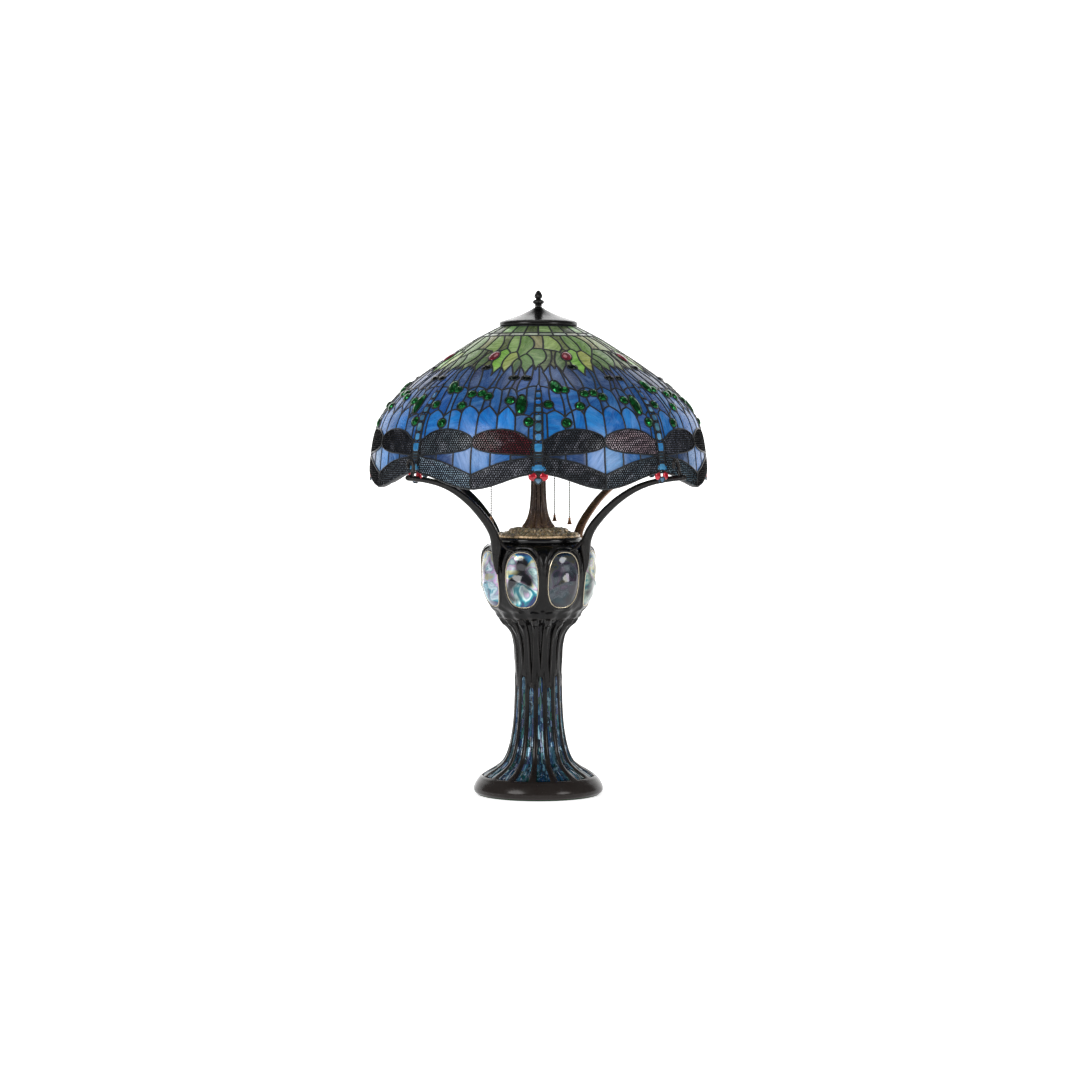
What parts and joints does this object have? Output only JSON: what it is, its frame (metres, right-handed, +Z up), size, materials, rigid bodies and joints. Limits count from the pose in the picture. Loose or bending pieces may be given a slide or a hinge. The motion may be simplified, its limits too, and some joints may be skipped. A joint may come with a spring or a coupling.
{
  "type": "stained glass table lamp",
  "caption": "Table lamp with a domed leaded dragonfly glass shade held by curved arms on a cast bronze column base with mosaic and iridescent glass.",
  "frame": {"origin": "centre of the underside of the felt pad, where the lamp stands", "axes": "+Z up the lamp's axis to the finial; -Y faces the front dragonfly; +X is the lamp's right as seen from the front"},
  "size_m": [0.5714, 0.5714, 0.853],
  "materials": {
    "dark_bronze": "dark bronze patina, satin",
    "antique_gold": "aged gold, satin",
    "brown_bronze": "brown bronze patina, satin",
    "steel": "zinc plated",
    "felt": "dark green felt",
    "mosaic_glass": "opalescent blue mosaic",
    "jewel_glass": "iridescent, thick pressed glass",
    "shade_glass": "opalescent art glass in dark solder lines",
    "bulb_glass": "frosted white",
    "brass": "aged brass",
    "black_plastic": "moulded"
  },
  "bodies": {
    "lamp": {"felt_pad": "felt", "base_cover_plate": "steel", "column_casting": "dark_bronze", "base_nut": "steel", "centre_rod": "steel", "cord_outlet_bush": "black_plastic", "mosaic_strip_01": "mosaic_glass", "mosaic_strip_02": "mosaic_glass", "mosaic_strip_03": "mosaic_glass", "mosaic_strip_04": "mosaic_glass", "mosaic_strip_05": "mosaic_glass", "mosaic_strip_06": "mosaic_glass", "mosaic_strip_07": "mosaic_glass", "mosaic_strip_08": "mosaic_glass", "mosaic_strip_09": "mosaic_glass", "mosaic_strip_10": "mosaic_glass", "mosaic_strip_11": "mosaic_glass", "mosaic_strip_12": "mosaic_glass", "mosaic_strip_13": "mosaic_glass", "mosaic_strip_14": "mosaic_glass", "mosaic_strip_15": "mosaic_glass", "mosaic_strip_16": "mosaic_glass", "urn_casting": "dark_bronze", "turtleback_tile_1": "jewel_glass", "turtleback_tile_2": "jewel_glass", "turtleback_tile_3": "jewel_glass", "turtleback_tile_4": "jewel_glass", "turtleback_tile_5": "jewel_glass", "turtleback_tile_6": "jewel_glass", "turtleback_tile_7": "jewel_glass", "turtleback_tile_8": "jewel_glass", "urn_collar": "dark_bronze", "gallery_plate": "antique_gold", "riser_stem": "brown_bronze", "shade_arm_1": "dark_bronze", "shade_arm_2": "dark_bronze", "shade_arm_3": "dark_bronze", "shade_arm_4": "dark_bronze", "socket_cluster": "brown_bronze", "socket_1": "brown_bronze", "socket_2": "brown_bronze", "socket_3": "brown_bronze", "bulb_1": "bulb_glass", "bulb_2": "bulb_glass", "bulb_3": "bulb_glass", "shade_leaded_glass": "shade_glass", "shade_top_ring": "brass", "cap_lock_nut": "steel", "shade_cap": "dark_bronze"},
    "pull_switch_1": {"pull_chain_1": "brass", "chain_bell_1": "brass"},
    "pull_switch_2": {"pull_chain_2": "brass", "chain_bell_2": "brass"},
    "pull_switch_3": {"pull_chain_3": "brass", "chain_bell_3": "brass"},
    "finial": {"finial": "dark_bronze"}
  },
  "joints": [
    {"name": "pull_1", "type": "slide", "parent": "lamp", "child": "pull_switch_1", "axis": [0, 0, -1], "range_m": [0, 0.01], "stiffness_N_per_m": 300},
    {"name": "pull_2", "type": "slide", "parent": "lamp", "child": "pull_switch_2", "axis": [0, 0, -1], "range_m": [0, 0.01], "stiffness_N_per_m": 300},
    {"name": "pull_3", "type": "slide", "parent": "lamp", "child": "pull_switch_3", "axis": [0, 0, -1], "range_m": [0, 0.01], "stiffness_N_per_m": 300},
    {"name": "finial_unscrew", "type": "hinge", "parent": "lamp", "child": "finial", "pos_m": [0, 0, 0.83], "axis": [0, 0, 1], "range_deg": [0, 1800]}
  ]
}
